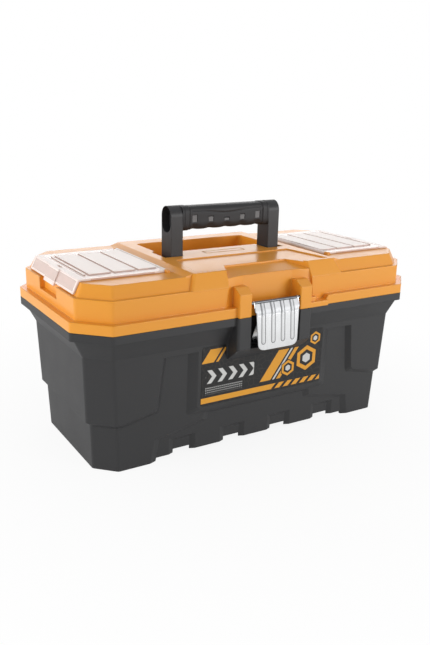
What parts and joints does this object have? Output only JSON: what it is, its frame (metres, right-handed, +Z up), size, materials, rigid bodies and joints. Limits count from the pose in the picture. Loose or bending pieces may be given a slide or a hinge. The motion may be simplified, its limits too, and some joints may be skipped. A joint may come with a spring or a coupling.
{
  "type": "tool box",
  "caption": "Portable plastic tool box with a hinged stepped lid, sprung metal latch, folding carrying handle, clear organiser covers and a lift-out tray.",
  "frame": {"origin": "centre of the footprint, on the ground", "axes": "+X along the box, -Y to the front with the latch, +Z up"},
  "size_m": [0.406, 0.2238, 0.242],
  "materials": {
    "tub_plastic": "fine satin grain",
    "lid_plastic": "satin",
    "clear_plastic": "clear, slightly frosted",
    "steel": "drawn wire",
    "latch_steel": "bright plated sheet",
    "handle_plastic": "fine satin grain",
    "grip_plastic": "soft satin",
    "insert_plastic": "satin",
    "sticker_film": "printed film",
    "tray_plastic": "fine satin grain"
  },
  "bodies": {
    "base": {"base_tub": "tub_plastic", "front_sticker": "sticker_film", "hinge_pin_left": "steel", "hinge_pin_right": "steel"},
    "lid": {"lid_shell": "lid_plastic", "latch_rod": "steel", "handle_pin_left": "steel", "handle_pin_right": "steel", "cover_rod_left": "steel", "cover_rod_right": "steel"},
    "latch": {"latch_lever": "latch_steel", "latch_spring_leaf": "latch_steel", "leaf_rivet_left": "steel", "leaf_rivet_right": "steel"},
    "handle": {"handle_frame": "handle_plastic", "grip_sleeve": "grip_plastic", "grip_insert": "insert_plastic"},
    "cover_left": {"organiser_cover_left": "clear_plastic"},
    "cover_right": {"organiser_cover_right": "clear_plastic"},
    "tray": {"inner_tray": "tray_plastic"}
  },
  "joints": [
    {"name": "lid_hinge", "type": "hinge", "parent": "base", "child": "lid", "pos_m": [0, 0.1076, 0.1454], "axis": [-1, 0, 0], "range_deg": [0, 105]},
    {"name": "handle_hinge", "type": "hinge", "parent": "lid", "child": "handle", "pos_m": [0, -0.0005, 0.177], "axis": [-1, 0, 0], "range_deg": [0, 90]},
    {"name": "latch_hinge", "type": "hinge", "parent": "lid", "child": "latch", "pos_m": [0, -0.1036, 0.1582], "axis": [-1, 0, 0], "range_deg": [0, 110]},
    {"name": "cover_left_hinge", "type": "hinge", "parent": "lid", "child": "cover_left", "pos_m": [-0.0988, 0, 0.1882], "axis": [0, 1, 0], "range_deg": [0, 105]},
    {"name": "cover_right_hinge", "type": "hinge", "parent": "lid", "child": "cover_right", "pos_m": [0.0988, 0, 0.1882], "axis": [0, -1, 0], "range_deg": [0, 105]},
    {"name": "tray_lift", "type": "slide", "parent": "base", "child": "tray", "axis": [0, 0, 1], "range_m": [0, 0.008]}
  ]
}
